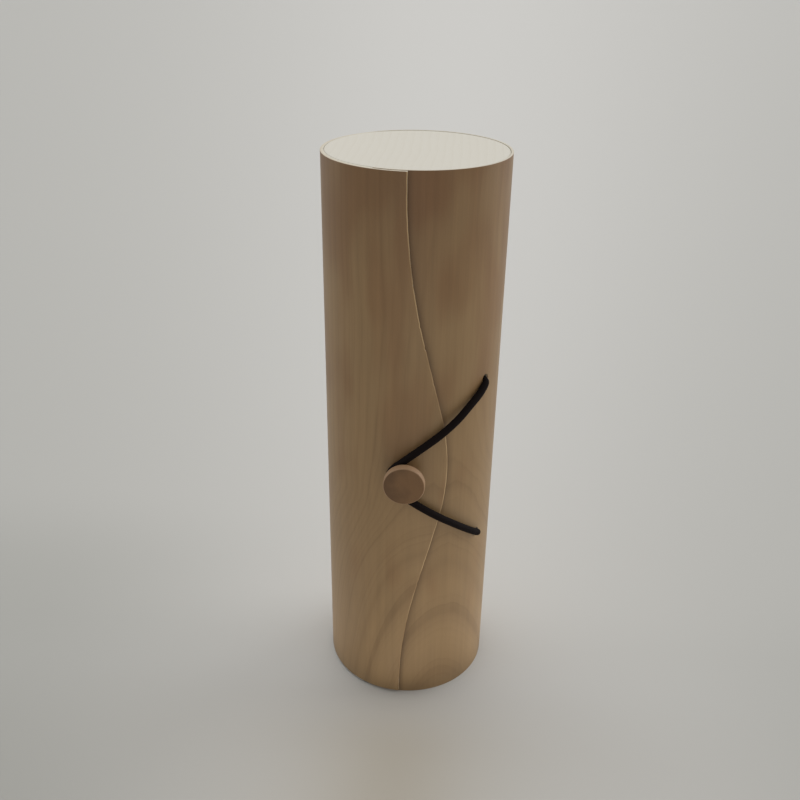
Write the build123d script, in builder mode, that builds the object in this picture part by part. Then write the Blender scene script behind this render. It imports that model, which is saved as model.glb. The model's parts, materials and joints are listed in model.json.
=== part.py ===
from build123d import *
import os
from math import asin, cos, degrees, pi, radians, sin, tan

# A tube case for knitting needles and crochet hooks, wrapped from flexible wood veneer.
#
# A sheet of veneer, lined with fleece, is bent round two end discs and glued to their rims, from a
# hidden free edge, round the right side and the back, to the fold. Past the fold the same sheet is
# a loose flap that laps over the free edge and ends in a bracket-shaped edge. A wooden button on
# the flap holds it shut: an elastic cord, knotted behind two holes in the glued part, hooks round
# the button's stem.
#
# Millimetres. The origin is the middle of the underside, +Z is up and the button looks along -Y.
# Angles round the case are degrees from -Y, positive towards +X.

# ---- End discs
disc_radius = 28.95
disc_thickness = 5.5
disc_chamfer = 0.2
top_recess = 0.1          # from the upper edge of the sheet down to the top disc

# ---- Sheet
case_height = 197.5
glue_gap = 0.1            # from the rim of a disc to the lining
lining_thickness = 0.2
veneer_thickness = 0.5
free_edge_angle = -22.0   # where the glued part begins, under the flap
fold_angle = -148.0       # where the glued part ends and the flap begins
fold_gap = 0.16           # the hairline at the fold

# ---- Flap
flap_lift = 0.6           # from the tube's axis to the flap's own centre, straight away from the fold
flap_foot_gap = 1.0       # kept off what the case stands on
flap_head_gap = 0.15      # kept short of the tube's upper end
tip_reach = 14.3          # along the sheet, from the button's axis to the tip of the edge
end_reach = -1.0          # the same, to the straight ends of the edge
tip_radius = 80.0
hollow_radius = 205.0
flank_angle = 14.1        # of the straight flanks, from upright

# ---- Button
button_height = 97.4
head_radius = 6.85
head_thickness = 3.4
head_chamfer = 0.25
stem_radius = 3.8
neck = 3.9                # from the flap's face to the back of the head
tack_radius = 0.6
tack_head_radius = 2.5
tack_head_thickness = 0.3
tack_bite = 2.2           # into the head, point included
tack_point = 1.2
tack_clearance = 0.05

# ---- Elastic cord
cord_radius = 1.25
hole_angle = 56.5
upper_hole_rise = 29.9    # above the button's axis
lower_hole_rise = -31.2
hole_clearance = 0.4
knot_radius = 2.9
knot_length = 4.4
knot_rounding = 1.5
knot_gap = 0.45           # from the lining to the knot's face, on the axis of the hole
exit_bend = 2.5           # of the cord where it comes out of a hole
exit_rise = 1.95          # from the face of the sheet to the corner of that bend

# ---- Worked out from the above
lining_inside = disc_radius + glue_gap
lining_outside = lining_inside + lining_thickness
case_radius = lining_outside + veneer_thickness
sheet_thickness = lining_thickness + veneer_thickness
mid_height = case_height / 2


def around(angle, radius, height=0.0):
    """The point at this angle round a vertical axis, at this radius from it."""
    turn = radians(angle)
    return Vector(radius * sin(turn), -radius * cos(turn), height)


def facing(angle, radius, height, centre=Vector(0, 0, 0)):
    """A plane there that looks outwards: its x runs round the case and its y runs up."""
    turn = radians(angle)
    return Plane(
        origin=centre + around(angle, radius, height),
        x_dir=(cos(turn), sin(turn), 0),
        z_dir=(sin(turn), -cos(turn), 0),
    )


def layer_section(base_plane, inside, thickness, start_angle, end_angle):
    """The cross-section of one layer of the sheet, between two angles round the plane's origin."""
    with BuildSketch(base_plane) as section:
        with BuildLine():
            inner = CenterArc((0, 0), inside, start_angle - 90, end_angle - start_angle)
            outer = CenterArc((0, 0), inside + thickness, start_angle - 90, end_angle - start_angle)
            Line(inner @ 0, outer @ 0)
            Line(inner @ 1, outer @ 1)
        make_face()
    return section.sketch


# ---- Glued part of the sheet
half_fold_gap = degrees(fold_gap / 2 / case_radius)
wall_angles = (free_edge_angle, fold_angle + 360 - half_fold_gap)
hole_planes = [
    facing(hole_angle, case_radius, button_height + rise) for rise in (upper_hole_rise, lower_hole_rise)
]


def glued_layer(name, inside, thickness):
    """One layer of the glued part, with the two holes that the cord comes out of."""
    with BuildPart() as layer:
        extrude(layer_section(Plane.XY, inside, thickness, *wall_angles), case_height)
        with Locations(*hole_planes):
            Hole(cord_radius + hole_clearance, depth=2 * sheet_thickness)
    layer.part.label = name
    return layer


wall_veneer = glued_layer("wall_veneer", lining_outside, veneer_thickness)
wall_lining = glued_layer("wall_lining", lining_inside, lining_thickness)

# ---- Flap
# It is one arc about its own centre. The fold, the tube's axis and that centre are in line, so the
# flap leaves the fold flush with the glued part and rises from there until it clears the free edge.
flap_centre = around(fold_angle + 180, flap_lift)
flap_inside = lining_inside + flap_lift
flap_radius = flap_inside + sheet_thickness
flap_height = case_height - flap_foot_gap - flap_head_gap
flap_plane = Plane((flap_centre.X, flap_centre.Y, flap_foot_gap))

button_angle = -degrees(asin(flap_centre.X / flap_radius))
tip_angle = button_angle + degrees(tip_reach / flap_radius)
end_angle = button_angle + degrees(end_reach / flap_radius)
edge_half_width = flap_radius * sin(radians(tip_angle - end_angle) / 2)
edge_plane = facing((tip_angle + end_angle) / 2, 0, mid_height, flap_centre)
trim_margin = 3.0         # of what is cut away, past the sheet
flap_angles = (fold_angle + half_fold_gap, tip_angle + degrees(trim_margin / flap_radius))

flap_face = flap_radius * cos(radians(button_angle)) - flap_centre.Y
flap_back = flap_face - sheet_thickness
button_plane = facing(0, flap_face, button_height)

# What is trimmed off beyond the edge: past a rounded tip, straight flanks, hollows and straight
# ends. Its lower half mirrors the upper one.
with BuildSketch(edge_plane) as beyond_edge:
    with BuildLine():
        tip = CenterArc((edge_half_width - tip_radius, 0), tip_radius, 0, flank_angle)
        hollow_x = hollow_radius * (1 - cos(radians(flank_angle))) - edge_half_width
        flank_rise = ((tip @ 1).X - hollow_x) / tan(radians(flank_angle))
        flank = Line(tip @ 1, (hollow_x, (tip @ 1).Y + flank_rise))
        hollow = JernArc(flank @ 1, flank % 1, hollow_radius, -flank_angle)
        far_x = edge_half_width + trim_margin
        far_y = max(mid_height, (hollow @ 1).Y) + trim_margin
        Polyline(hollow @ 1, ((hollow @ 1).X, far_y), (far_x, far_y), (far_x, 0))
        mirror(about=Plane.XZ)
    make_face()


def flap_layer(name, inside, thickness):
    """One layer of the flap, trimmed to its edge, with the hole for the button's tack."""
    with BuildPart() as layer:
        extrude(layer_section(flap_plane, inside, thickness, *flap_angles), flap_height)
        extrude(beyond_edge.sketch, flap_radius + trim_margin, mode=Mode.SUBTRACT)
        with Locations(button_plane):
            Hole(tack_radius + tack_clearance, depth=2 * sheet_thickness)
    layer.part.label = name
    return layer


flap_veneer = flap_layer("flap_veneer", flap_inside + lining_thickness, veneer_thickness)
flap_lining = flap_layer("flap_lining", flap_inside, lining_thickness)

# ---- End discs


def end_disc(name, underside):
    """A round end board with broken edges."""
    with BuildPart() as disc:
        with BuildSketch(Plane.XY.offset(underside)):
            Circle(disc_radius)
        extrude(amount=disc_thickness)
        chamfer(edges().filter_by(GeomType.CIRCLE), disc_chamfer)
    disc.part.label = name
    return disc


bottom_disc = end_disc("bottom_disc", 0)
top_disc = end_disc("top_disc", case_height - top_recess - disc_thickness)

# ---- Button
head_plane = facing(0, flap_face + neck, button_height)

with BuildPart() as button_head:
    with BuildSketch(head_plane):
        Circle(head_radius)
    extrude(amount=head_thickness)
    chamfer(edges().filter_by(GeomType.CIRCLE), head_chamfer)
    with BuildSketch(head_plane):
        Circle(tack_radius + tack_clearance)
    extrude(amount=tack_bite + tack_clearance, mode=Mode.SUBTRACT)
button_head.part.label = "button_head"

# The stem's foot is hollowed to the curve of the flap.
with BuildPart() as button_stem:
    with BuildSketch(head_plane):
        Circle(stem_radius)
        Circle(tack_radius + tack_clearance, mode=Mode.SUBTRACT)
    extrude(amount=-(neck + sheet_thickness))
    with BuildSketch(Plane((flap_centre.X, flap_centre.Y, button_height - head_radius))):
        Circle(flap_radius)
    extrude(amount=2 * head_radius, mode=Mode.SUBTRACT)
button_stem.part.label = "button_stem"

# The tack's thin head is pressed to the curve of the lining, and its point ends in the button.
tack_length = sheet_thickness + neck + tack_bite
with BuildPart() as button_tack:
    with BuildSketch(Plane((flap_centre.X, flap_centre.Y, button_height - tack_head_radius))):
        Circle(flap_inside)
        Circle(flap_inside - tack_head_thickness, mode=Mode.SUBTRACT)
    extrude(amount=2 * tack_head_radius)
    with BuildSketch(facing(0, 0, button_height)):
        Circle(tack_head_radius)
    extrude(amount=flap_face, mode=Mode.INTERSECT)
    with BuildSketch(facing(0, flap_back - tack_head_thickness / 2, button_height)):
        Circle(tack_radius)
    extrude(amount=tack_head_thickness / 2 + tack_length - tack_point)
    with Locations(facing(0, flap_back + tack_length - tack_point, button_height)):
        Cone(tack_radius, 0, tack_point, align=(Align.CENTER, Align.CENTER, Align.MIN))
button_tack.part.label = "button_tack"

# ---- Elastic cord
# Each point of its route is an angle round the case, a rise above the button's axis and a distance
# out from the face of the glued part.
knot_face = lining_inside - knot_gap
cord_route = [
    (hole_angle, upper_hole_rise, knot_face - case_radius),
    (hole_angle, upper_hole_rise, exit_rise),
    (49.0, 27.4, 1.7),
    (40.5, 24.1, 1.9),
    (31.0, 20.2, 2.6),
    (20.0, 15.8, 3.1),
    (8.8, 11.2, 3.15),
    (0.0, 7.1, 3.2),
    (-9.2, 2.4, 3.3),
    (-9.2, -2.6, 3.3),
    (0.0, -7.2, 3.2),
    (8.8, -11.0, 3.15),
    (20.0, -15.7, 3.1),
    (31.0, -20.3, 2.6),
    (40.5, -24.5, 1.9),
    (49.0, -28.2, 1.7),
    (hole_angle, lower_hole_rise, exit_rise),
    (hole_angle, lower_hole_rise, knot_face - case_radius),
]
cord_points = [
    around(angle, case_radius + distance, button_height + rise)
    for angle, rise, distance in cord_route
]


def corner_radius(before, corner, after):
    """The largest arc that leaves a tenth of the shorter run straight."""
    run = min((corner - before).length, (after - corner).length)
    half_turn = (corner - before).get_angle(after - corner) / 2
    return 0.45 * run / tan(radians(half_turn))


cord_radii = [corner_radius(*cord_points[i:i + 3]) for i in range(len(cord_points) - 2)]
cord_radii[0] = cord_radii[-1] = exit_bend

with BuildPart() as elastic_cord:
    with BuildLine() as cord_line:
        FilletPolyline(*cord_points, radius=cord_radii)
    with BuildSketch(Plane(cord_line.line @ 0, z_dir=cord_line.line % 0)):
        Circle(cord_radius)
    sweep()
elastic_cord.part.label = "elastic_cord"

print("cord radii", [round(radius, 1) for radius in cord_radii])
cord_length = cord_line.wire().length
print("cord length", round(cord_length, 1))
print("volume over section x length", elastic_cord.part.volume / (pi * cord_radius**2 * cord_length))


def stopper_knot(name, hole_plane):
    """The outer shape of a stopper knot drawn up behind its hole."""
    with BuildPart() as knot:
        with BuildSketch(hole_plane.offset(knot_face - case_radius)):
            Circle(knot_radius)
        extrude(amount=-knot_length)
        fillet(edges().filter_by(GeomType.CIRCLE), knot_rounding)
    knot.part.label = name
    return knot


upper_knot = stopper_knot("upper_knot", hole_planes[0])
lower_knot = stopper_knot("lower_knot", hole_planes[1])

# ---- Files
pieces = [
    wall_veneer, wall_lining, flap_veneer, flap_lining, bottom_disc, top_disc,
    button_head, button_stem, button_tack, elastic_cord, upper_knot, lower_knot,
]
os.makedirs("parts", exist_ok=True)
for piece in pieces:
    export_step(piece.part, f"parts/{piece.part.label}.step")
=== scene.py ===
# %% [markdown]
# # A tube case of bent veneer
#
# The real object is a case for knitting needles and crochet hooks: one sheet of thin wood, lined
# with fleece, wrapped round two end boards and held shut by a wooden button and an elastic cord.
# Its solids were drawn in CAD. This script loads them as a frame that never moves and dresses
# them: sheets with real edges, a braided cord, a turned button and wood that is grown from sums.
#
# Everything is in metres, +Z is up and the button looks along -Y.

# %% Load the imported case
import json
import math

import bpy
import numpy as np
from mathutils import Matrix, Vector


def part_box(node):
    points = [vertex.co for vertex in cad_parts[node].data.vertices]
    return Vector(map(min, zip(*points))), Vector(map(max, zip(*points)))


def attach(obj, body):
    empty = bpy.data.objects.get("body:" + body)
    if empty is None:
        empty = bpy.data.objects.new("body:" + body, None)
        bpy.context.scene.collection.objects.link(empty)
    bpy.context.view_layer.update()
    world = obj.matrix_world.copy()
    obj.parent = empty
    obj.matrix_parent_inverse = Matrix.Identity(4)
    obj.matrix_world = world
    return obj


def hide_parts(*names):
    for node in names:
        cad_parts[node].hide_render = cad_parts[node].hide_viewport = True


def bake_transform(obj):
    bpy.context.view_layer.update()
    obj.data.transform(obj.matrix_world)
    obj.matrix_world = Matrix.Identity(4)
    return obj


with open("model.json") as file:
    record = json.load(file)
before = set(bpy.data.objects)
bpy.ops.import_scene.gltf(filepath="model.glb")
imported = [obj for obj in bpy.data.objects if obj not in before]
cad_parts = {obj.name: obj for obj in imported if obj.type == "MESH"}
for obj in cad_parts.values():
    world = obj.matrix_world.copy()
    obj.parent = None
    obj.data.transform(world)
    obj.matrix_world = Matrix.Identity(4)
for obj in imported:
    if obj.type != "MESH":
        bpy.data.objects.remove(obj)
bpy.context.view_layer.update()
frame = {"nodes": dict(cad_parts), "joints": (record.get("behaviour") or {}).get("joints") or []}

print("nodes:", sorted(frame["nodes"]))

# %% [markdown]
# ## Where things are
#
# Sizes could be typed in again, but then they would drift from the solids. So the places of the
# fold and of the cord's holes come from the two joints, and the rest from the boxes of the nodes.
# Angles round the case are measured from -Y, positive towards +X.

# %% Read the case's own measurements
mm = 0.001
joints = {joint["name"]: joint for joint in frame["joints"]}
fold_x, fold_y, middle = joints["flap_hinge"]["pos_m"]
hole_x, hole_y, _ = joints["loop_swing"]["pos_m"]
case_radius = math.hypot(fold_x, fold_y)
fold_angle = math.atan2(fold_x, -fold_y)
hole_angle = math.atan2(hole_x, -hole_y)

wall_low, wall_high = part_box("wall_veneer")
flap_low, flap_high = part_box("flap_veneer")
head_low, head_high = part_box("button_head")
button_height = (head_low.z + head_high.z) / 2

# The flap is one arc about its own centre, moved straight away from the fold by this lift.
lift_angle = fold_angle + math.pi
flap_lift = (-flap_low.x - case_radius) / (1 - math.sin(lift_angle))
flap_centre = flap_lift * np.array([math.sin(lift_angle), -math.cos(lift_angle), 0])
flap_radius = case_radius + flap_lift
print(f"case radius {case_radius / mm:.2f} mm, flap lifted {flap_lift / mm:.2f} mm")
print(f"fold at {math.degrees(fold_angle):.1f} degrees, holes at {math.degrees(hole_angle):.1f}")


# %% [markdown]
# ## The camera
#
# A camera is a lens and a stand. The lens is short for a small object, so the tube narrows
# towards its foot. The stand is a place, a heading, a tilt down and a slight roll, multiplied
# together from the outside in, which is easier to read than a table of numbers.

# %% Set up the camera
camera_data = bpy.data.cameras.new("camera")
camera_data.lens = 40.19
camera_data.sensor_width = 36.0
camera_data.clip_start = 0.01
camera_data.clip_end = 50.0
camera = bpy.data.objects.new("camera", camera_data)
bpy.context.scene.collection.objects.link(camera)

stand_angle = math.radians(3.15)       # where the stand is, round the case
stand_distance = 281.46 * mm
stand_height = 255.6 * mm
sideways = -0.4 * mm
heading = math.radians(3.925)
tilt_down = math.radians(27.4276)
roll = math.radians(0.8664)
stand = Vector((
    stand_distance * math.sin(stand_angle), -stand_distance * math.cos(stand_angle), stand_height))
stand += sideways * Vector((math.cos(heading), math.sin(heading), 0))
camera.matrix_world = (
    Matrix.Translation(stand)
    @ Matrix.Rotation(heading, 4, "Z")
    @ Matrix.Rotation(math.radians(90) - tilt_down, 4, "X")
    @ Matrix.Rotation(roll, 4, "Z")
)
bpy.context.scene.camera = camera
print("camera stands at", [round(v / mm, 1) for v in stand], "mm")

# %% [markdown]
# ## Grids that become meshes
#
# Blender can build a mesh by hand, with operators or from numbers. Here every new shape is a
# function of two parameters, worked out for a whole grid at once with numpy, because a formula
# says more about a shape than a list of corners does. One helper numbers the cells of a grid and
# another one makes the object.


# %% Helpers for meshes
def cells(rows, columns, closed=False):
    """The four corner numbers of each cell of a grid, row by row. A closed grid has one more column
    of cells, which joins its last points to its first."""
    numbers = np.arange(rows * columns).reshape(rows, columns)
    beside = np.roll(numbers, -1, axis=1)
    quads = np.stack([numbers[:-1], beside[:-1], beside[1:], numbers[1:]], axis=-1)
    if not closed:
        quads = quads[:, :-1]
    return quads


def make_piece(name, points, faces, crease=25):
    """A mesh object with soft shading, sharp where two faces meet at more than crease degrees."""
    mesh = bpy.data.meshes.new(name)
    mesh.from_pydata(points, [], faces)
    mesh.validate()
    mesh.shade_smooth()
    mesh.set_sharp_from_angle(angle=math.radians(crease))
    made = bpy.data.objects.new(name, mesh)
    bpy.context.scene.collection.objects.link(made)
    print(f"{name}: {len(mesh.vertices)} points, {len(mesh.polygons)} faces")
    return made


def write_map(piece, name, values):
    """Stores three numbers for each point, which a material reads by that name."""
    layer = piece.data.attributes.new(name, "FLOAT_VECTOR", "POINT")
    layer.data.foreach_set("vector", np.asarray(values, np.float32).ravel())


def read_map(piece, name):
    """The numbers that write_map stored, one row for each point."""
    layer = piece.data.attributes[name]
    values = np.empty(3 * len(layer.data), np.float32)
    layer.data.foreach_get("vector", values)
    return values.reshape(-1, 3)


def along(direction):
    """The same directions at length 1."""
    return direction / np.linalg.norm(direction, axis=-1, keepdims=True)


def smooth(share):
    """A soft rise from 0 to 1, t squared times 3 - 2t, and level outside."""
    t = np.clip(share, 0, 1)
    return t * t * (3 - 2 * t)


print("a grid of 3 by 4 points has", cells(3, 4).reshape(-1, 4).shape[0], "cells")


# %% [markdown]
# ## The elastic cord
#
# The cord is about 2.5 mm thick and comes out of one hole, runs behind the button and goes back
# into the other hole. Its line is a NURBS spline over a few points, which a bent cord follows
# better than straight runs with rounded corners. A curve with a round bevel would be the quick
# way, but the braid would then be only a picture, so the tube is a mesh whose radius swells over
# each crossing of the braid.

# %% Lay the cord's line
cord_diameter = 2.5 * mm
cord_route = [  # degrees round the case, millimetres above the button, millimetres off the wall
    (56.5, 29.9, -1.15),
    (56.0, 29.8, 0.95),
    (52.0, 27.9, 1.15),
    (47.3, 26.2, 1.5),
    (40.3, 24.0, 1.85),
    (31.0, 20.2, 2.6),
    (20.0, 15.8, 3.1),
    (8.8, 11.2, 3.15),
    (0.0, 7.1, 3.2),
    (-9.2, 2.4, 3.3),
    (-9.2, -2.6, 3.3),
    (0.0, -7.2, 3.2),
    (8.8, -11.0, 3.15),
    (20.0, -15.7, 3.1),
    (31.0, -20.3, 2.6),
    (40.5, -24.5, 1.9),
    (47.0, -27.3, 1.55),
    (52.6, -29.5, 1.2),
    (56.8, -31.1, 1.2),
    (57.0, -31.2, -1.15),
]


def around(angle, radius, height):
    """Points at these angles, in radians, round the upright axis, at these radii and heights."""
    return np.stack([radius * np.sin(angle), -radius * np.cos(angle), height + 0 * radius], axis=-1)


angles, rises, offsets = np.array(cord_route).T
route = around(np.radians(angles), case_radius + offsets * mm, button_height + rises * mm)

line_curve = bpy.data.curves.new("cord_line", "CURVE")
line_curve.dimensions = "3D"
spline = line_curve.splines.new("NURBS")
spline.points.add(len(route) - 1)
spline.points.foreach_set("co", np.c_[route, np.ones(len(route))].ravel())
spline.order_u = 3
spline.use_endpoint_u = True
spline.resolution_u = 24
line_object = bpy.data.objects.new("cord_line", line_curve)
bpy.context.scene.collection.objects.link(line_object)
line_mesh = bpy.data.meshes.new_from_object(line_object)
cord_line = np.array([point.co for point in line_mesh.vertices], float)
bpy.data.objects.remove(line_object)

steps = np.linalg.norm(np.diff(cord_line, axis=0), axis=1)
cord_length = steps.sum()
print(f"cord line: {len(cord_line)} points, {cord_length / mm:.1f} mm")


# %% Wind the tube round it
def even_line(line, count):
    """The same line with its points spread evenly, and how far along it each one lies."""
    run = np.r_[0, np.cumsum(np.linalg.norm(np.diff(line, axis=0), axis=1))]
    wanted = np.linspace(0, run[-1], count)
    return np.stack([np.interp(wanted, run, line[:, axis]) for axis in range(3)], axis=-1), wanted


def ring_sides(forward, first, turn):
    """The directions round each point of a line: the first one times the cosine of the turn, plus the
    one square to it times the sine."""
    second = np.cross(forward, first)
    return first[:, None] * np.cos(turn)[None, :, None] + second[:, None] * np.sin(turn)[None, :, None]


def tube(line, run, upward, radius, sides):
    """Rings square to a line. upward is a direction near each point that is never along the line,
    and radius a function of the angle round the line and the run along it."""
    forward = along(np.gradient(line, axis=0))
    first = along(upward - forward * np.sum(upward * forward, axis=-1, keepdims=True))
    turn = np.linspace(0, 2 * np.pi, sides, endpoint=False)
    reach = radius(turn[None, :], run[:, None])[..., None]
    return line[:, None] + reach * ring_sides(forward, first, turn)


def closed_tube(rings, line):
    """The points and faces of a tube whose two ends are closed by fans."""
    rows, sides = rings.shape[:2]
    points = np.concatenate([rings.reshape(-1, 3), line[:1], line[-1:]])
    quads = cells(rows, sides, closed=True).reshape(-1, 4)
    around_ring = np.arange(sides)
    after = np.roll(around_ring, -1)
    first_pole, last_pole = rows * sides, rows * sides + 1
    start = np.stack([after, around_ring, np.full(sides, first_pole)], axis=-1)
    last = (rows - 1) * sides
    end = np.stack([last + around_ring, last + after, np.full(sides, last_pole)], axis=-1)
    return points, quads.tolist() + start.tolist() + end.tolist()


cord_rings, cord_sides = 460, 40
strands = 8
lay_length = 7.5 * mm     # along the cord, for one strand to go once round
relief = 0.10 * mm        # how far a crossing stands proud of the hollows
fullness = 0.7            # below 1 it makes each strand rounder
upper_squeeze, lower_squeeze = 0.34 * mm, 0.12 * mm   # off the radius, where a hole pinches the cord
end_taper = 4.5 * mm      # along the cord, from its full thickness to the hole


def braided(turn, run):
    """The cord's radius: two families of strands wind opposite ways, and the higher one shows.
    Towards each end it falls smoothly, because a hole pinches the yarn."""
    wind = 2 * np.pi * run / lay_length
    left = np.abs(np.cos((turn + wind) * strands / 2))
    right = np.abs(np.cos((turn - wind) * strands / 2))
    full = cord_diameter / 2 - relief + relief * np.maximum(left, right) ** fullness
    squeeze = np.where(run < cord_length / 2, upper_squeeze, lower_squeeze)
    return full - squeeze * (1 - smooth(np.minimum(run, cord_length - run) / end_taper))


# The first direction of a ring is straight out from the case, but near the holes, where the cord
# itself runs that way, it is upright.
turning = 6 * mm          # along the cord, from the one to the other
line, run = even_line(cord_line, cord_rings)
outwards = np.clip(np.minimum(run, cord_length - run) / turning, 0, 1)[:, None]
upward = along(line * [1, 1, 0]) * outwards + np.array([0, 0, 1]) * (1 - outwards)
cord_tube = tube(line, run, upward, braided, cord_sides)
elastic = make_piece("elastic_loop", *closed_tube(cord_tube, line), crease=60)
ring_turn, ring_run = np.meshgrid(np.linspace(0, 1, cord_sides, endpoint=False), run / mm)
lay = np.stack([ring_turn, ring_run, 0 * ring_run], axis=-1).reshape(-1, 3)
write_map(elastic, "lay", np.concatenate([lay, [[0, 0, 0]], [[0, run[-1] / mm, 0]]]))

# %% [markdown]
# ## Two stopper knots
#
# Behind each hole the cord ends in a tight knot, which nobody sees until the flap is open. The
# centre line of an overhand knot is the trefoil, a closed curve that three sines describe, and
# the same tube function thickens it. A short stub joins it to the cord in its hole.

# %% Tie the knots
knot_names = ("upper_knot", "lower_knot")
knot_heights = [button_height + rises[0] * mm, button_height + rises[-1] * mm]
knot_depth = 26.4 * mm                        # from the tube's axis to the middle of a knot
knot_across, knot_deep = 0.62 * mm, 1.2 * mm  # what the trefoil's sums are stretched by
knot_yarn_radius = 0.95 * mm                  # the cord is pulled thin in its knot
knot_rings, knot_sides = 96, 16
stub_start, stub_end = 28.59 * mm, 25.8 * mm  # from the tube's axis
stub_radius = 1.2 * mm
stub_rings = 5

hole_out = np.array([math.sin(hole_angle), -math.cos(hole_angle), 0])
hole_side = np.array([math.cos(hole_angle), math.sin(hole_angle), 0])
upright = np.array([0, 0, 1.0])


def trefoil(height):
    """A tube round sin t + 2 sin 2t across, cos t - 2 cos 2t upright and -sin 3t deep."""
    t = np.linspace(0, 2 * np.pi, knot_rings, endpoint=False)
    line = (
        hole_out * knot_depth + upright * height
        + np.outer(np.sin(t) + 2 * np.sin(2 * t), hole_side) * knot_across
        + np.outer(np.cos(t) - 2 * np.cos(2 * t), upright) * knot_across
        - np.outer(np.sin(3 * t), hole_out) * knot_deep
    )
    forward = along(np.roll(line, -1, axis=0) - np.roll(line, 1, axis=0))
    first = along(np.cross(forward, hole_out))
    turn = np.linspace(0, 2 * np.pi, knot_sides, endpoint=False)
    points = line[:, None] + knot_yarn_radius * ring_sides(forward, first, turn)
    numbers = np.arange(knot_rings * knot_sides).reshape(knot_rings, knot_sides)
    beside, above = np.roll(numbers, -1, axis=1), np.roll(numbers, -1, axis=0)
    quads = np.stack([numbers, beside, np.roll(beside, -1, axis=0), above], axis=-1)
    return points.reshape(-1, 3), quads.reshape(-1, 4)


def even_stub(turn, run):
    """The same radius all round and all along."""
    return stub_radius + 0 * turn * run


def tie_knot(name, height):
    """A trefoil, and the straight stub of cord that leads from it into the hole."""
    points, quads = trefoil(height)
    stub_line = np.linspace(hole_out * stub_start, hole_out * stub_end, stub_rings) + upright * height
    stub = tube(stub_line, np.arange(float(stub_rings)), upright, even_stub, knot_sides)
    stub_points, stub_faces = closed_tube(stub, stub_line)
    faces = quads.tolist() + [[corner + len(points) for corner in face] for face in stub_faces]
    return make_piece(name + "_tied", np.concatenate([points, stub_points]), faces, crease=60)


knots = [tie_knot(name, height) for name, height in zip(knot_names, knot_heights)]

# %% [markdown]
# ## The sheet
#
# Wall, fold and flap are one sheet on the real case, so one function bends them all. Its first
# parameter is the run along the outer face, from -Y round the right side and the back. Up to the
# fold the sheet follows the case's circle. After it, the flap's larger circle. The second one is
# the height, and the third how deep in the sheet the point lies.

# %% Bend the sheet
fold_run = (fold_angle + 2 * math.pi) * case_radius
veneer_thickness = 0.5 * mm
lining_thickness = 0.2 * mm
strip_half = 4.0 * mm         # each side of the fold, where the sheet bends when the flap opens
sanded = 0.1 * mm             # the width of the sanded corner along a straight cut
sanded_dip = 0.05 * mm        # and how far it falls


def bent(run, height, depth):
    """Points of the sheet: on the case's circle up to the fold and on the flap's after it."""
    wall_turn = run / case_radius
    flap_turn = fold_angle + (run - fold_run) / flap_radius
    on_wall = around(wall_turn, case_radius - depth, height)
    on_flap = around(flap_turn, flap_radius - depth, height) + flap_centre
    return np.where((run <= fold_run)[..., None], on_wall, on_flap)


def stations(knots, spacings):
    """Positions that pass through every knot, in equal steps near the spacing given for each span."""
    spans = [
        np.linspace(a, b, max(2, round((b - a) / spacing) + 1))[:-1]
        for a, b, spacing in zip(knots, knots[1:], spacings)
    ]
    return np.concatenate(spans + [knots[-1:]])


def corner_dip(distance, width=sanded, deep=sanded_dip):
    """How far a sanded corner falls: nothing at its width from the cut, and all of it at the cut."""
    return deep * (1 - np.clip(distance / width, 0, 1))


def sheet_piece(name, run, height, dip, layer, keep=None, puff=0.0):
    """One layer of the sheet as a closed shell: an outer grid, an inner grid turned over, and a rim
    along every free edge. dip is how far each point of the face lies below the plain sheet, and puff
    how far the back stands proud of it."""
    top, bottom = layer
    outer_depth, inner_depth = top + dip, bottom + puff + 0 * run
    quads = cells(*run.shape)
    quads = (quads if keep is None else quads[keep]).reshape(-1, 4)
    count = run.size
    sides = np.concatenate([quads[:, [0, 1]], quads[:, [1, 2]], quads[:, [2, 3]], quads[:, [3, 0]]])
    free = sides[~np.isin(sides[:, 0] * count + sides[:, 1], sides[:, 1] * count + sides[:, 0])]
    rim = np.stack([free[:, 1], free[:, 0], free[:, 0] + count, free[:, 1] + count], axis=-1)
    faces = np.concatenate([quads, quads[:, ::-1] + count, rim])
    used, faces = np.unique(faces, return_inverse=True)
    depths = (outer_depth, inner_depth)
    points = np.concatenate([bent(run, height, depth).reshape(-1, 3) for depth in depths])
    grain = np.concatenate([
        np.stack([run, height, depth], axis=-1).reshape(-1, 3) / mm for depth in depths
    ])
    made = make_piece(name, points[used], faces.reshape(-1, 4))
    write_map(made, "grain", grain[used])
    return made


print(f"run of the fold {fold_run / mm:.2f} mm")

# %% [markdown]
# ## The wall and its two holes
#
# The glued part runs from its free edge to the fold and has two holes for the cord. A Boolean
# would cut them, but it leaves ragged faces round each hole. So the grid is made fine there, the
# cells inside each hole are left out, and the grid lines round it are pulled from squares into
# circles.

# %% Cut the wall
free_edge_run = math.radians(-22.0) * case_radius
hole_run = hole_angle * case_radius
hole_radius = 1.65 * mm
hole_cell = hole_radius / 2   # the size of a cell near a hole
hole_block = 5 * hole_cell    # half the width of the fine grid round a hole
veneer_layer = (0.0, veneer_thickness)
lining_layer = (veneer_thickness, veneer_thickness + lining_thickness)


def round_off(run, height, centre):
    """Multiplies the way from a hole's centre by square distance over round distance, near the hole.
    The pull fades out over the block, so that the grid beyond it stays straight."""
    across, up = run - hole_run, height - centre
    square = np.maximum(np.abs(across), np.abs(up))
    distance = np.hypot(across, up)
    fade = np.clip((hole_block - square) / (hole_block - hole_radius), 0, 1)
    pull = np.where(distance > 0, square / np.maximum(distance, 1e-9), 1) * fade + (1 - fade)
    return hole_run + across * pull, centre + up * pull


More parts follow.
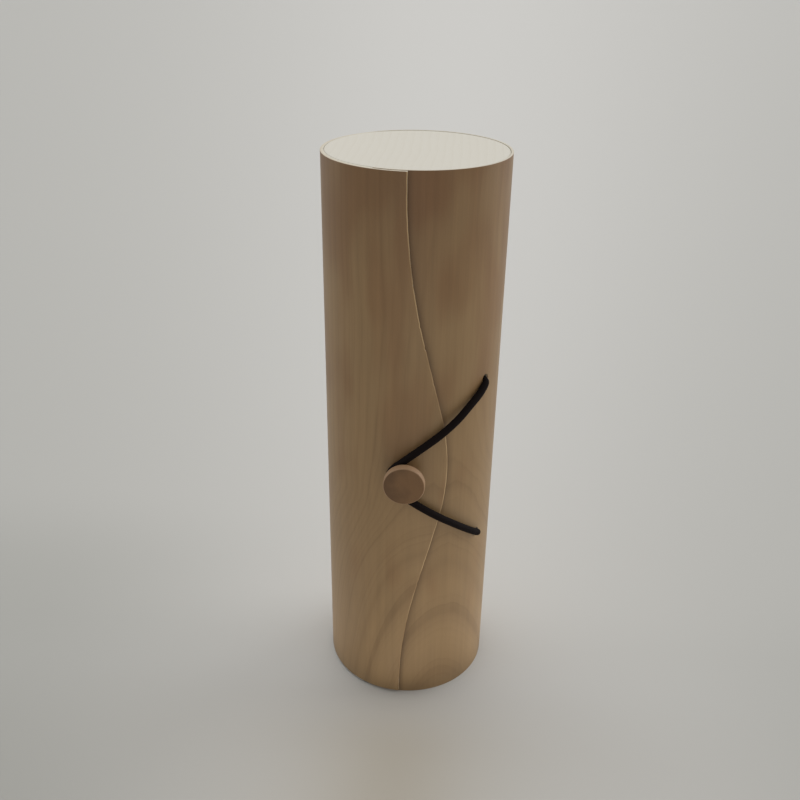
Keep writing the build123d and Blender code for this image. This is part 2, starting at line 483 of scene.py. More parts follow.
def wall_grid(coarse):
    """The wall's grid, fine round the two holes, with the cells inside the holes left out."""
    runs = stations(
        [free_edge_run, free_edge_run + sanded, hole_run - hole_block, hole_run + hole_block,
         fold_run - strip_half],
        [sanded, coarse, hole_cell, coarse])
    low, high = wall_low.z, wall_high.z
    lower, upper = knot_heights[1], knot_heights[0]
    heights = stations(
        [low, low + sanded, lower - hole_block, lower + hole_block, upper - hole_block,
         upper + hole_block, high - sanded, high],
        [sanded, 2 * coarse, hole_cell, 2 * coarse, hole_cell, 2 * coarse, sanded])
    run, height = np.meshgrid(runs, heights)
    from_cut = np.minimum(np.minimum(height - low, high - height), run - free_edge_run)
    middle_run = (run[:-1, :-1] + run[1:, 1:]) / 2
    middle_height = (height[:-1, :-1] + height[1:, 1:]) / 2
    keep = np.ones(middle_run.shape, bool)
    for centre in (lower, upper):
        square = np.maximum(np.abs(middle_run - hole_run), np.abs(middle_height - centre))
        keep &= square > hole_radius
        run, height = round_off(run, height, centre)
    return run, height, corner_dip(from_cut), keep


run, height, dip, keep = wall_grid(0.8 * mm)
wall = sheet_piece("wall_sheet", run, height, dip, veneer_layer, keep)
run, height, dip, keep = wall_grid(2.0 * mm)
wall_fleece = sheet_piece("wall_fleece", run, height, 0 * dip, lining_layer, keep)


# %% [markdown]
# ## The strip at the fold
#
# There is no hinge on the real case: the wood and its fleece bend at the fold. The strip is a
# piece of its own, and it is shortened smoothly, because the flap is a little shorter than the wall.

# %% Bend the strip
sanded_share = 0.0006         # the sanded corner as a share of the height
row_share = 0.01


def strip_grid(spacing):
    """A narrow strip across the fold, which shortens from the wall's height to the flap's."""
    runs = stations([fold_run - strip_half, fold_run + strip_half], [spacing])
    shares = stations([0, sanded_share, 1 - sanded_share, 1], [1, row_share, 1])
    run, share = np.meshgrid(runs, shares)
    across = (run - runs[0]) / (runs[-1] - runs[0])
    low = wall_low.z + (flap_low.z - wall_low.z) * across
    high = wall_high.z + (flap_high.z - wall_high.z) * across
    height = low + (high - low) * share
    return run, height, corner_dip(np.minimum(height - low, high - height))


strip = sheet_piece("fold_sheet", *strip_grid(0.4 * mm), veneer_layer)
run, height, dip = strip_grid(0.8 * mm)
strip_fleece = sheet_piece("fold_fleece", run, height, 0 * dip, lining_layer)

# %% [markdown]
# ## The flap's edge
#
# The flap ends in a bracket: a rounded tip beside the button, straight flanks, long hollows and
# straight ends. Each part is a circle or a line, and np.where picks the one that holds at each
# height. Thin wood never cuts quite clean, so a sum of small waves and a few chips nibble at it.

# %% Draw the flap's edge
tip_reach, end_reach = 14.3 * mm, -1.0 * mm
tip_radius, hollow_radius = 80.0 * mm, 205.0 * mm
flank = math.radians(14.1)
button_turn = -math.asin(flap_centre[0] / flap_radius)
edge_turn = button_turn + (tip_reach + end_reach) / 2 / flap_radius
half_width = flap_radius * math.sin((tip_reach - end_reach) / 2 / flap_radius)


def edge_across(height):
    """How far the edge lies to the right of its own middle plane, at each height: a circle's bulge at
    the tip, then a straight line, then the hollow of a larger circle, and level above it."""
    rise = np.abs(height - middle)
    tip_top = tip_radius * math.sin(flank)
    tip_end = half_width - tip_radius * (1 - math.cos(flank))
    hollow_start = hollow_radius * (1 - math.cos(flank)) - half_width
    flank_top = tip_top + (tip_end - hollow_start) / math.tan(flank)
    hollow_top = flank_top + hollow_radius * math.sin(flank)
    tip = half_width - tip_radius + np.sqrt(tip_radius**2 - np.minimum(rise, tip_top) ** 2)
    straight = tip_end - (rise - tip_top) * math.tan(flank)
    into = np.clip(hollow_top - rise, 0, hollow_top)
    hollow = hollow_radius - half_width - np.sqrt(hollow_radius**2 - into**2)
    return np.where(rise < tip_top, tip, np.where(rise < flank_top, straight, hollow))


chips = [  # height in the sheet, how tall and how deep, in millimetres
    (150.5, 0.9, 0.16), (143.2, 1.3, 0.34), (131.0, 0.8, 0.14), (163.4, 0.7, 0.12),
    (52.6, 1.1, 0.20), (61.8, 0.8, 0.15), (34.0, 1.0, 0.16), (108.5, 0.9, 0.10),
]
wave_lengths, wave_shifts = (2.9 * mm, 1.3 * mm, 0.71 * mm), (0.4, 2.1, 4.4)
wave_depth = 0.018 * mm


def nibbled(height):
    """What the edge loses to wear: sines of three lengths and the chips, each a narrow bell."""
    waves = sum(np.sin(height / length + shift) for length, shift in zip(wave_lengths, wave_shifts))
    lost = wave_depth * waves
    for centre, tall, deep in chips:
        lost = lost + deep * mm * np.exp(-(((height - centre * mm) / (tall / 2 * mm)) ** 2))
    return lost


edge_bevel, edge_bevel_dip = 0.42 * mm, 0.14 * mm     # sanded more than the straight cuts


def flap_grid(columns, row_spacing):
    """Rows of cells from the strip at the fold to the cut. The last cell of each is the bevel."""
    low, high = flap_low.z, flap_high.z
    heights = stations([low, low + sanded, high - sanded, high], [sanded, row_spacing, sanded])
    share, height = np.meshgrid(np.linspace(0, 1, columns), heights)
    across = edge_across(height) - nibbled(height)
    edge = fold_run + flap_radius * (edge_turn + np.arcsin(across / flap_radius) - fold_angle)
    start = fold_run + strip_half
    run = np.concatenate([start + (edge - edge_bevel - start) * share, edge[:, :1]], axis=1)
    height = np.concatenate([height, height[:, :1]], axis=1)
    ends = corner_dip(np.minimum(height - low, high - height))
    return run, height, np.maximum(ends, corner_dip(edge[:, :1] - run, edge_bevel, edge_bevel_dip))


flap = sheet_piece("flap_sheet", *flap_grid(90, 0.65 * mm), veneer_layer)

# %% [markdown]
# ## The flap's fleece
#
# The lining follows the wood. Only beside the two end boards is it a little fuller: there the
# fibres swell and close most of the gap between the board's rim and the flap, so that no dark
# line shows at the top. A second shell of fluff could be laid in, but it is simpler to let the
# back of the fleece stand proud by a gap that is worked out for each point.

# %% Line the flap
board_low, board_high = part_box("top_disc")
board_radius = (board_high.x - board_low.x) / 2
swell_height = 7.0 * mm       # from the sheet's end to where the swelling is gone
most_swell = 0.9 * mm
hair = 0.06 * mm              # left open, so that the fleece touches nothing
over_edge = math.radians(3)   # what lies behind changes from board to wall over this angle


def pressed_out(run, height):
    """The gap between the flap and what lies behind it, less a hair, and at most most_swell. It is
    multiplied by a soft rise towards the sheet's two ends."""
    angle = fold_angle + (run - fold_run) / flap_radius
    reach = flap_radius - lining_layer[1] + flap_lift * np.cos(angle - lift_angle)
    over_wall = np.clip((angle - free_edge_run / case_radius) / over_edge + 1, 0, 1)
    behind = board_radius + (case_radius - board_radius) * over_wall
    from_end = np.minimum(height - flap_low.z, flap_high.z - height)
    rise = smooth((swell_height - from_end) / (swell_height / 2))
    return np.clip(reach - behind - hair, 0, most_swell) * rise


run, height, dip = flap_grid(46, 0.9 * mm)
swell = pressed_out(run, height)
flap_fleece = sheet_piece("flap_fleece", run, height, 0 * dip, lining_layer, puff=swell)
print(f"the fleece swells by up to {swell.max() / mm:.2f} mm")

# %% [markdown]
# ## How near the flap's edge is
#
# A painted shadow darkens the wall along the flap's edge. To draw it, the finish has to know
# how far each point lies from that edge. Ambient occlusion would find the corner by itself, but
# this is exact, and it stays when the model is taken elsewhere.


# %% Measure the way to the edge
def write_lap(piece, on_wall):
    """Stores the way to the flap's edge, in millimetres, and 1 if the point is on the wall."""
    run, height, _ = read_map(piece, "grain").T * mm
    edge_angle = edge_turn + np.arcsin(edge_across(height) / flap_radius)
    if on_wall:
        distance = run - case_radius * edge_angle
    else:
        distance = fold_run + flap_radius * (edge_angle - fold_angle) - run
    write_map(piece, "lap", np.stack([distance / mm, float(on_wall) + 0 * run, 0 * run], axis=-1))


for piece in (wall, strip, flap):
    write_lap(piece, piece is wall)
    print(f"{piece.name}: up to {read_map(piece, 'lap')[:, 0].max():.0f} mm from the flap's edge")

# %% [markdown]
# ## The button
#
# The button's head is turned, so half of its outline is enough: a profile of radius and depth,
# carried once round the button's axis. A torus or a bevelled cylinder would come close, but the
# soft corner and the faint crown of a sanded face are what the light picks out.

# %% Turn the button's head
head_radius = (head_high.x - head_low.x) / 2
head_back, head_face = head_high.y, head_low.y
corner = 0.6 * mm             # the radius of its two rounded corners
crown = 0.3 * mm              # how far the middle of the face stands proud of its rim
head_sides = 72


def head_profile():
    """Radius and depth from the middle of the back round to the middle of the face: a line, two
    quarter circles and a parabola."""
    flat = head_radius - corner
    back = np.linspace(0, 1, 8)[:-1] * flat
    bend = np.linspace(0, math.pi / 2, 7)
    front = np.linspace(1, 0, 14)[1:] * flat
    radius = np.r_[back, flat + corner * np.sin(bend), flat + corner * np.cos(bend), front]
    sag = crown * (front / flat) ** 2
    depth = np.r_[head_back + 0 * back, head_back - corner * (1 - np.cos(bend)),
                  head_face + crown + corner * (1 - np.sin(bend)), head_face + sag]
    return radius, depth


profile_radius, profile_depth = head_profile()
turn = np.linspace(0, 2 * np.pi, head_sides, endpoint=False)
rings = np.stack([
    profile_radius[1:-1, None] * np.cos(turn),
    profile_depth[1:-1, None] + 0 * turn,
    button_height + profile_radius[1:-1, None] * np.sin(turn),
], axis=-1)
poles = np.array([[0, profile_depth[0], button_height], [0, profile_depth[-1], button_height]])
head = make_piece("button_turned", *closed_tube(rings, poles), crease=60)

# %% [markdown]
# ## Which way the faces look
#
# A grid can come out inside out, depending on which way its rows run. Blender could recalculate
# the normals, but a closed shell tells by its volume: the pyramids from the origin to all its
# triangles add up to it, and they add up to less than nothing if the faces look inwards.


# %% Turn the faces outwards
def signed_volume(piece):
    """The volume inside a closed mesh, negative if its faces look inwards."""
    mesh = piece.data
    mesh.calc_loop_triangles()
    corners = np.empty(3 * len(mesh.loop_triangles), np.int32)
    mesh.loop_triangles.foreach_get("vertices", corners)
    points = np.empty(3 * len(mesh.vertices), np.float32)
    mesh.vertices.foreach_get("co", points)
    a, b, c = points.reshape(-1, 3)[corners].reshape(-1, 3, 3).transpose(1, 0, 2).astype(float)
    return np.sum(a * np.cross(b, c)) / 6


new_pieces = [elastic, *knots, wall, wall_fleece, strip, strip_fleece, flap, flap_fleece, head]
for piece in new_pieces:
    if signed_volume(piece) < 0:
        piece.data.flip_normals()
        print("turned over:", piece.name)
    print(f"{piece.name}: {signed_volume(piece) / mm**3:.0f} cubic millimetres")

# %% [markdown]
# ## Say what moves
#
# The glued wall, its fleece and the knots hang on the case's body, and the flap, its fleece and the
# button on the flap's body, which turns about the fold on the real case. A real sheet bends there
# instead of hinging, and the cord's roots stay in their holes while the loop swings out; the strip
# across the fold and the cord are only set in place here.

# %% Hang the pieces on the bodies
for piece in (wall, wall_fleece, *knots):
    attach(piece, "case")
for piece in (flap, flap_fleece, head):
    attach(piece, "flap")
for piece in (strip, strip_fleece):
    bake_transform(piece)

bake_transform(elastic)

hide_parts("wall_veneer")
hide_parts("wall_lining")
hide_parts("flap_veneer")
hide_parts("flap_lining")
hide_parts("elastic_cord")
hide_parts("button_head")
for knot, name in zip(knots, knot_names):
    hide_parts(name)

# %% [markdown]
# ## Sums in place of wires
#
# A shader graph is arithmetic drawn as boxes. Written as text it is easier to read, so one small
# class wraps a socket and lets Python's own signs add the Math nodes, and one method adds any
# other node. Colours are given as they look on a screen, from 0 to 255, and turned into light.


# %% Write shader maths as Python
def sign(operation, reflected=False):
    """One of Python's signs as a Math node. A reflected one has its number first, as in 1 - x."""
    def with_sign(self, other):
        pair = (other, self) if reflected else (self, other)
        return self.maths(operation, *pair)
    return with_sign


class Wire:
    """A socket that can stand in a sum."""

    __add__ = sign("ADD")
    __radd__ = sign("ADD", reflected=True)
    __sub__ = sign("SUBTRACT")
    __rsub__ = sign("SUBTRACT", reflected=True)
    __mul__ = sign("MULTIPLY")
    __rmul__ = sign("MULTIPLY", reflected=True)
    __truediv__ = sign("DIVIDE")
    __rtruediv__ = sign("DIVIDE", reflected=True)
    __pow__ = sign("POWER")

    def __init__(self, finish, socket):
        self.finish, self.socket = finish, socket

    def maths(self, operation, *values):
        return self.finish.node("Math", {"operation": operation}, dict(enumerate(values)))

    def be(self, operation):
        """The same value through a one-sided function, such as SINE, SQRT, FLOOR or FRACT."""
        return self.maths(operation, self)

    def step(self, low, high):
        """0 below low and 1 above high, with a soft rise between."""
        return self.finish.node("MapRange", {"interpolation_type": "SMOOTHSTEP"},
                                {"Value": self, "From Min": low, "From Max": high})


class Finish:
    """A material that is being built, one node at a time."""

    def __init__(self, name):
        self.material = bpy.data.materials.new(name)
        self.material.use_nodes = True
        self.tree = self.material.node_tree
        self.shader = self.tree.nodes["Principled BSDF"]

    def plug(self, socket, value):
        if isinstance(value, Wire):
            self.tree.links.new(value.socket, socket)
        else:
            socket.default_value = value

    def node(self, kind, settings=None, inputs=None, output=0):
        """Adds one node: its settings first, then the values or links of its sockets."""
        made = self.tree.nodes.new("ShaderNode" + kind)
        for name, value in (settings or {}).items():
            setattr(made, name, value)
        for name, value in (inputs or {}).items():
            self.plug(made.inputs[name], value)
        return Wire(self, made.outputs[output])

    def set(self, **values):
        for name, value in values.items():
            self.plug(self.shader.inputs[name.replace("_", " ")], value)
        return self.material

    def map(self, name):
        """The three numbers that write_map stored for each point, as three wires."""
        return self.split(self.node("Attribute", {"attribute_name": name}, output="Vector"))

    def place(self):
        """The three object coordinates, in millimetres."""
        return [value / mm for value in self.split(self.node("TexCoord", output="Object"))]

    def split(self, vector):
        made = self.node("SeparateXYZ", inputs={0: vector}).socket.node
        return [Wire(self, socket) for socket in made.outputs]

    def noise(self, x, y, z=0.0, detail=2.0, rough=0.5):
        """Smooth noise about 0.5, at the scale of the sums given."""
        vector = self.node("CombineXYZ", inputs={0: x, 1: y, 2: z})
        return self.node("TexNoise", inputs={
            "Vector": vector, "Scale": 1.0, "Detail": detail, "Roughness": rough})

    def mix(self, share, first, second, how="MIX"):
        """One colour over another."""
        return self.node("Mix", {"data_type": "RGBA", "blend_type": how},
                         {0: share, 6: first, 7: second}, output=2)

    def bump(self, height, strength=1.0):
        """Tilts the surface by a height in millimetres."""
        return self.node("Bump", inputs={"Strength": strength, "Distance": mm, "Height": height})


def tint(red, green, blue):
    """A colour as it looks on a screen, as the light that a shader needs."""
    parts = np.array([red, green, blue]) / 255
    light = np.where(parts <= 0.04045, parts / 12.92, ((parts + 0.055) / 1.055) ** 2.4)
    return (*light.tolist(), 1.0)


print("half way on a screen is", round(tint(128, 128, 128)[0], 2), "of the light")

# %% [markdown]
# ## The years in the wood
#
# Wood is a stack of cones. A cut through them shows each year as a line: upright where the cut
# runs along the cones, and an arch where it leans through them. A picture of wood would be quick,
# but it repeats and has a seam, so the finish works out how far each point lay from the heart of
# the tree and draws a darker line at the end of every year. Most years are faint. A few dry ones
# left broad dark lines, which make the arches at the foot and the stripes at the left. The map
# "grain" gives the run along the sheet, the height and the depth, all in millimetres, so the
# lines go unbroken round the fold.

# %% Work out the years
heart_runs = (14.5, 197.5)    # the heart lines: on the wall and, once round, on the flap
heart_depth = 40              # how deep under the cut the heart is, high up
lean_slope = 0.12             # half of how much nearer it comes for each millimetre down
bend_height, bend_softness = 92, 15     # below this height the cut leans through the cones
flap_rise = 15                # how much higher the arches lie on the flap
year_width = 0.93
dark_years = [  # how far from the heart, half the width, both in millimetres, and how dark
    (20.0, 1.30, 0.55), (27.1, 0.95, 0.95), (31.6, 0.95, 0.50), (34.6, 0.45, 0.22),
    (38.0, 0.65, 0.42), (39.8, 0.35, 0.25), (41.7, 0.35, 0.38), (43.6, 0.35, 0.42),
    (45.1, 0.30, 0.30), (46.8, 0.38, 0.48), (48.6, 0.30, 0.36), (50.3, 0.40, 0.42),
    (52.0, 0.30, 0.30), (54.1, 0.40, 0.34),
]


def bell(value, centre, half):
    """1 at the centre, a quarter at half a width from it, and soon nothing."""
    off = (value - centre) / half
    return (off * off + 1) ** -2.0


def heart_distance(finish, run, height):
    """The root of two squares: how far a point lies aside of the nearest heart line, a sine of the
    run, and how deep the heart is there, a line that bends at bend_height. Noise makes both
    wander, and beside the button the lines swerve as they do round a knot in the wood."""
    repeat = heart_runs[1] - heart_runs[0]
    beside_button = ((run - heart_runs[1] + 26) / 8).step(1.0, -1.0)
    swerve = bell(height, 87, 11) * beside_button * 3.4
    wander = (finish.noise(run / 30, height / 90, 3.0) - 0.5) * 4
    phase = (run - heart_runs[0] + wander - swerve) * (math.pi / repeat)
    aside = phase.be("SINE") * (1 - bell(run, 45, 30) * 0.25) * (repeat / math.pi)
    below = bend_height + run.step(110, 170) * height.step(85, 45) * flap_rise - height
    lean = (below + (below * below + bend_softness**2).be("SQRT")) * lean_slope
    deep = heart_depth - lean + (finish.noise(run / 60, height / 70, 9.0) - 0.5) * 3
    uneven = (finish.noise(run / 5, height / 26, 5.0, 2.0) - 0.5) * 0.5
    return (aside * aside + deep * deep).be("SQRT") + uneven


def late_wood(finish, heart):
    """The line that ends each year: its share of the year cubed, then a quick fall. Each year has a
    strength of its own."""
    years = heart / year_width
    number = years.be("FLOOR")
    share = years - number
    strength = finish.node("TexWhiteNoise", {"noise_dimensions": "1D"}, {"W": number + 7.3})
    return (share ** 3) * (1 - share.step(0.85, 1.0)) * strength


print(len(dark_years), "dark years, from", dark_years[0][0], "to", dark_years[-1][0], "mm")

# %% [markdown]
# ## Veneer
#
# The face is oiled and satin. Pores and fibres run up the tree whatever the years do, and the
# wood is redder in clouds, towards the top and beside the seam. Its colour holds painted light as
# well: the face is painted darker towards the top, a painted shadow lies on the wall along the
# flap's edge, and that edge is worn pale in places and painted paler higher up, a painted highlight.
# Only the depth tells face from cut, so one finish does for both: the sawn edge is paler than the
# face, and the sheet's two ends are painted near white, a painted highlight over paler cut wood.

# %% Finish the veneer
wood_pale, wood_brown, wood_red = (152, 123, 86), (108, 82, 52), (128, 90, 56)
# The second colour here is the painted shadow along the flap's edge.
wood_light, seam_shadow_tint = (160, 130, 90), (74, 52, 34)


def face_colour(finish, run, height, heart, late):
    """The pale colour with four others over it, each by its own mask: light bands between the years,
    brown lines, red clouds and a painted shadow along the flap's edge."""
    patchy = finish.noise(run / 9, height / 30, 11.0, 1.0).step(0.25, 0.7)
    dark = sum(bell(heart, centre, half) * strong for centre, half, strong in dark_years)
    light = bell(heart, 24.2, 2.2) * 0.4 + bell(heart, 29.6, 1.2) * 0.25
    colour = finish.mix(light, tint(*wood_pale), tint(*wood_light))
    lined = dark * (patchy * 0.5 + 0.5) * 0.46 + late * 0.26
    colour = finish.mix(lined, colour, tint(*wood_brown))
    blush = finish.noise(run / 12, height / 34, 8.0, 1.0) + (height - 115) / 500
    beside_seam = bell(run, 5.0, 9.0) * height.step(140, 188)
    reddened = blush.step(0.44, 0.72) * 0.42 + beside_seam * 0.2 + height.step(150, 200) * 0.2
    colour = finish.mix(reddened, colour, tint(*wood_red))
    # Painted shadow: the wall is darkened along the flap's edge, where the flap shades it.
    lap, on_wall, _ = finish.map("lap")
    painted_seam_shadow = bell(lap, 0.6, 1.8) * lap.step(-1.0, 0.2) * on_wall * 0.36
    return finish.mix(painted_seam_shadow, colour, tint(*seam_shadow_tint))


def edge_colours(finish, run, height, depth):
    """The sawn long edge, pale where it is worn and, as a painted highlight, higher up, and brown
    elsewhere; and the sheet's two ends, paler cut wood painted near white as a painted highlight.
    """
    grit = finish.noise(run / 0.2, height / 0.6, depth / 0.1)
    # The pale colour of raw cut wood, made paler still as a painted highlight.
    raw_cut_and_highlight = finish.mix(grit, tint(200, 170, 128), tint(182, 150, 108))
    patches = finish.noise(height / 9, 0.5, 21.0, 1.0).step(0.30, 0.62)
    # The pale share: random worn patches, and from 20 to 60 mm up a painted highlight that leaves the
    # lower edge browner.
    wear_and_highlight_share = patches * height.step(20, 60) * 0.75 + 0.25
    side_wood = finish.mix(wear_and_highlight_share, tint(142, 111, 76), raw_cut_and_highlight)
    end_grit = finish.noise(run / 0.2, depth / 0.1, 0.0)
    # The sheet's two ends: paler cut wood, painted near white as a painted highlight from the light
    # above.
    return side_wood, finish.mix(end_grit, tint(208, 203, 190), tint(196, 188, 170))


def veneer_finish():
    """The face multiplied by a grey tone, which darkens the top as a painted shade, then the sawn edge
    over it, then the sheet's two ends.
    """
    finish = Finish("veneer")
    run, height, depth = finish.map("grain")
    heart = heart_distance(finish, run, height)
    late = late_wood(finish, heart)
    fibre = finish.noise(run / 0.33, height / 16, 1.0, 3.0, 0.6)
    streak = finish.noise(run / 1.6, height / 90, 2.0, 2.0)
    cloud = finish.noise(run / 14, height / 30, 4.0, 2.0)
    fleck = finish.noise(run / 0.45, height / 2.2, 6.0, 1.0).step(0.66, 0.74)
    # The first term darkens the top of the face, a painted shade; fibre, streak, cloud and fleck are
    # the wood's own tone.
    tone = 1.0 - height.step(155, 200) * 0.11 + (fibre - 0.5) * 0.14
    tone = tone + (streak - 0.5) * 0.22 + (cloud - 0.5) * 0.14 - fleck * 0.03
    grey = finish.node("CombineXYZ", inputs={0: tone, 1: tone, 2: tone})
    colour = finish.mix(1.0, face_colour(finish, run, height, heart, late), grey, "MULTIPLY")

    side_wood, lit_end_wood = edge_colours(finish, run, height, depth)
    middle_height = middle / mm
    from_middle = (height - middle_height).be("ABSOLUTE")
    at_end = from_middle.step(middle_height - 0.3, middle_height - 0.1)
    cut = depth.step(0.015, 0.07)
    colour = finish.mix(cut, colour, side_wood)
    colour = finish.mix(cut * at_end, colour, lit_end_wood)
    rough = 0.45 + (fibre - 0.5) * 0.12 + cut * 0.3
    relief = fibre * 0.03 - late * 0.02 + fleck * 0.01
    return finish.set(Base_Color=colour, Roughness=rough, Normal=finish.bump(relief, 0.6))


veneer = veneer_finish()
for piece in (wall, strip, flap):
    piece.data.materials.append(veneer)
print("veneer nodes:", len(veneer.node_tree.nodes))

# %% [markdown]
# ## Fleece
#
# The lining is a thin felted skin bonded to the wood: short fibres that lie every way. Hair would
# be far too much for a skin that thin. Two noises, each stretched along a different slant, read
# as fibres that cross.


# %% Finish the fleece
def fleece_finish():
    """The mean of two noises, each stretched along its own slant."""
    finish = Finish("fleece")
    run, height, depth = finish.map("grain")
    one = finish.noise(run / 0.25 + height / 1.1, height / 0.3, depth, 3.0, 0.7)
    other = finish.noise(run / 0.9 - height / 0.35, height / 0.8, depth + 5, 3.0, 0.7)
    fuzz = (one + other) / 2
    colour = finish.mix(fuzz.step(0.3, 0.7), tint(196, 189, 172), tint(214, 208, 193))
    return finish.set(Base_Color=colour, Roughness=0.95, Normal=finish.bump(fuzz * 0.12, 0.8))


fleece = fleece_finish()
print("fleece nodes:", len(fleece.node_tree.nodes))

# %% [markdown]
# ## Boards and button
#
# The end boards are pale and sanded smooth, with growth rings so faint that they only break the
# white. The button is a slice of darker wood. Its face is end grain, which drinks the wax and
# turns dark, and its side is long grain, which stays pale; the gap between them is widened with
# painted light, painted shade on the face, which looks away from the light, and a painted highlight
# on the side. The face is also painted darker towards its right and its foot, a painted shade. Both
# are solid wood, so their pattern is worked out in space and carries on from one face to the next.


# %% Finish the boards and the button
def sanded_wood(finish, colour, fibre):
    """Wood with a soft sheen, rougher and higher where a fibre stands."""
    return finish.set(Base_Color=colour, Roughness=0.62 + (fibre - 0.5) * 0.1,
                      Normal=finish.bump(fibre * 0.02, 0.5))


def board_finish():
    """Rings about a heart 60 mm outside the board."""
    finish = Finish("sanded_board")
    x, y, z = finish.place()
    wander = finish.noise(x / 14, y / 30, z / 30) * 3
    heart = ((x + 60) * (x + 60) + (y * y) * 0.08).be("SQRT") + wander
    ring = (heart / 2.6).be("FRACT") ** 3
    fibre = finish.noise(x / 0.35, y / 9, z / 9, 3.0, 0.6)
    tone = ring * 0.35 + (fibre - 0.5) * 0.5
    colour = finish.mix(tone.step(-0.3, 0.8), tint(208, 204, 193), tint(203, 198, 185))
    return sanded_wood(finish, colour, fibre)


def button_finish():
    """Rings about a heart 9 mm outside the button. The face is darker than the side, by end grain and
    painted shade, and darker towards its right, a painted shade.
    """
    finish = Finish("waxed_button")
    x, y, z = finish.place()
    rise = z - button_height / mm
    slant = x * 0.93 + rise * 0.36
    wander = finish.noise(x / 5, y / 5, z / 5) * 1.2
    heart = ((slant + 9) * (slant + 9) + (y * y) * 0.4).be("SQRT") + wander
    ring = (heart / 1.7).be("FRACT") ** 3
    fibre = finish.noise(slant / 0.3, (z - x * 0.4) / 5, y / 1.5, 3.0, 0.6)
    cloud = finish.noise(x / 4.5, y / 4.5, z / 4.5, 1.0)
    # The side is paler long grain with a painted highlight; the face below is dark end grain with
    # painted shade.
    lit_side_grain = finish.mix(fibre * 0.6, tint(164, 131, 99), tint(144, 113, 82))
    grain = ring * 0.15 + (fibre - 0.5) * 0.25
    shaded_end_grain = finish.mix(grain, tint(120, 88, 56), tint(98, 71, 44))
    # Painted shade: darker towards the button's right and its foot, in random clouds.
    shade = (cloud + x * -0.045 + rise * -0.01).step(0.30, 0.85)
    shaded_end_grain = finish.mix(shade * 0.6, shaded_end_grain, tint(82, 58, 36))
    into = y - head_face / mm
    colour = finish.mix(into.step(0.34, 0.50), shaded_end_grain, lit_side_grain)
    return sanded_wood(finish, colour, fibre)


board, button_wood = board_finish(), button_finish()
print("board and button nodes:", len(board.node_tree.nodes), len(button_wood.node_tree.nodes))

# %% [markdown]
# ## Yarn and steel
#
# The cord is black yarn, rough enough to swallow light. Its fuzz follows the map "lay" round and
# along the cord, so that it bends with it. A knot is short, so there the fuzz is worked out in
# space. The tack is drawn steel with fine scratches along its shank.


# %% Finish the yarn and the tack
def yarn_finish(name, follows_lay):
    """Black with a fine fuzz, which follows the map or is worked out in space."""
    finish = Finish(name)
    if follows_lay:
        turn, run, _ = finish.map("lay")
        fuzz = finish.noise(turn * 60, run / 0.12, 0.0, 2.0, 0.7)
    else:
        x, y, z = finish.place()
        fuzz = finish.noise(x / 0.12, y / 0.12, z / 0.12, 2.0, 0.7)
    colour = finish.mix(fuzz, tint(9, 6, 6), tint(30, 22, 21))
    return finish.set(Base_Color=colour, Roughness=0.9, Specular_IOR_Level=0.12,
                      Normal=finish.bump(fuzz * 0.08, 0.7))


def tack_finish():
    """Bare metal, rougher where it is scratched."""
    finish = Finish("tack_steel")
    x, y, z = finish.place()
    scratch = finish.noise(x / 0.08, y / 0.5, z / 1.5, 2.0)
    colour = finish.mix(scratch, tint(150, 147, 140), tint(176, 173, 166))
    return finish.set(Base_Color=colour, Metallic=1.0, Roughness=0.3 + scratch * 0.2)


yarn, knot_yarn = yarn_finish("elastic_yarn", True), yarn_finish("knotted_yarn", False)
steel = tack_finish()
print("yarn and steel nodes:", len(yarn.node_tree.nodes), len(steel.node_tree.nodes))

# %% Dress the pieces
dressed = [
    (wall_fleece, fleece, "lining"), (strip_fleece, fleece, "lining"), (flap_fleece, fleece, "lining"),
    (head, button_wood, "button"), (elastic, yarn, "elastic"),
    (knots[0], knot_yarn, "elastic"), (knots[1], knot_yarn, "elastic"),
]
for piece, material, slot in dressed:
    piece.data.materials.append(material)
kept_nodes = {"top_disc": board, "bottom_disc": board, "button_stem": button_wood, "button_tack": steel}
for name, material in kept_nodes.items():
    frame["nodes"][name].data.materials.clear()
    frame["nodes"][name].data.materials.append(material)
print("dressed", len(dressed), "pieces and", len(kept_nodes), "nodes")

# %% [markdown]
# ## The floor
#
# The case stands on a plain pale table. Its colour holds painted shade: it falls off a little
# round the case, before it and towards both sides, where the room is less bright and the case
# throws its shadow. Each part of that painted shade levels off or fades, so that the table stays
# plain from every side. Before the case lies a faint warm patch, a painted reflection and shadow of
# the wood on the table.

# %% Lay the floor
floor_size = 12.0             # from its middle to each side, in metres
table_pale, table_shade, case_reflection_tint = (206, 205, 202), (160, 160, 155), (158, 146, 124)


def floor_finish():
    """The painted shade is a sum. towards_sides rises with the square of x over a growing width and
    levels off, near is a hill round the case, and the other three are soft steps that fade with
    distance."""
    finish = Finish("pale_floor")
    x, y, _ = finish.place()
    # Every term of the shade below is painted shade on the table's colour.
    side = (x / (y.be("ABSOLUTE") + 350)) ** 2
    towards_sides = side * 7.5 / (side * 11.1 + 1)
    away = x * x + y * y
    near = 1 / (away / 350**2 + 1)
    front = y.step(-20, -130) * (1 - x.step(-300, 300)) * 0.42
    left = x.step(-20, -170) * y.step(100, 20) * 0.2
    right = x.step(90, 200) * y.step(60, -60) * 0.2
    close_by = 0.6 / ((away / 280**2)**2 + 1) + 0.4
    shade = towards_sides + near * 0.12 + (front + left + right) * close_by
    colour = finish.mix(shade, tint(*table_pale), tint(*table_shade))
    # A painted reflection and shadow of the case: a warmer, darker patch on the table before it.
    painted_case_reflection = y.step(-15, -60) * y.step(-170, -110) / (x * x / 32**2 + 1)
    colour = finish.mix(painted_case_reflection * 0.56, colour, tint(*case_reflection_tint))
    return finish.set(Base_Color=colour, Roughness=0.9, Specular_IOR_Level=0.1)


floor = make_piece("floor", np.array([
    [-floor_size, -floor_size, 0], [floor_size, -floor_size, 0],
    [floor_size, floor_size, 0], [-floor_size, floor_size, 0]]), [[0, 1, 2, 3]])
floor.data.materials.append(floor_finish())

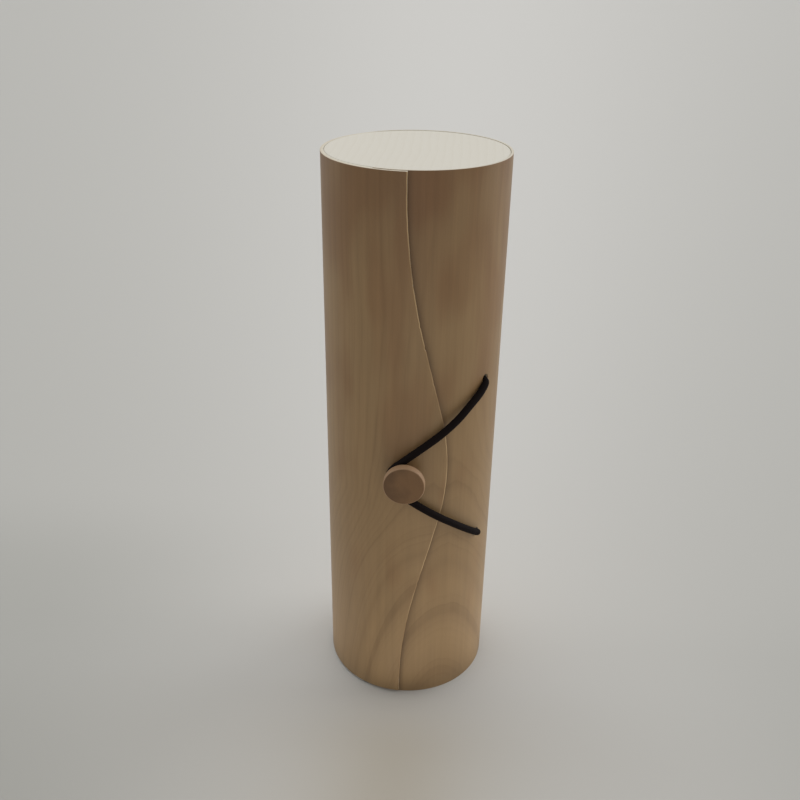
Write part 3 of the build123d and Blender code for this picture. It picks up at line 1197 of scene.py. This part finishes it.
# %% [markdown]
# ## The light
#
# The world fills every shadow. Three windows stand for the room: a wide one overhead makes the
# top board the brightest part, and one at each side, a little behind, brightens the two sides of
# the tube. A sun is used for each, because its light is as strong at the foot as at the top.
# Small lamps lie on the table and look straight up: they stand for the light that a pale table
# throws back at the wood, and neither the camera nor a reflection sees them.


# %% Open the windows and lay the lamps
def window(name, direction, power, softness):
    """Light from one side of the room, the same everywhere. softness is the width of its disc."""
    data = bpy.data.lights.new(name, "SUN")
    data.energy = power
    data.angle = math.radians(softness)
    made = bpy.data.objects.new(name, data)
    bpy.context.scene.collection.objects.link(made)
    made.rotation_euler = Vector(direction).to_track_quat("Z", "Y").to_euler()


def table_lamp(name, x, y, size, power):
    """A square soft lamp on the table that looks straight up."""
    data = bpy.data.lights.new(name, "AREA")
    data.size = size
    data.energy = power
    made = bpy.data.objects.new(name, data)
    made.visible_camera = False
    made.visible_glossy = False
    bpy.context.scene.collection.objects.link(made)
    upwards = Vector((0, 0, 1)).to_track_quat("-Z", "Y").to_matrix().to_4x4()
    made.matrix_world = Matrix.Translation((x, y, lamp_height)) @ upwards


windows = [  # name, direction it shines from, power and softness in degrees
    ("sky_window", (-0.15, 0.5, 1.0), 1.13, 70),
    ("right_window", (0.85, 0.45, 0.3), 1.5, 50),
    ("left_window", (-0.9, 0.5, 0.3), 0.42, 50),
]
lamp_height = 2 * mm
table_lamps = [  # name, x, y and size in metres, and power in watts
    ("front_glow", 0.01, -0.068, 0.06, 0.008),
    ("right_glow", 0.068, -0.02, 0.06, 0.009),
    ("left_glow", -0.068, -0.02, 0.06, 0.008),
    ("table_glow", 0.05, -0.13, 0.1, 0.03),
]
for values in windows:
    window(*values)
for values in table_lamps:
    table_lamp(*values)
print(len(windows), "windows and", len(table_lamps), "lamps on the table")

# %% Fill the room
world = bpy.data.worlds.new("room")
bpy.context.scene.world = world
world.use_nodes = True
room = world.node_tree.nodes["Background"]
room.inputs["Color"].default_value = (1.0, 0.99, 0.97, 1.0)
room.inputs["Strength"].default_value = 0.47
bpy.context.scene.view_settings.view_transform = "Standard"
print("world strength:", round(room.inputs["Strength"].default_value, 2))
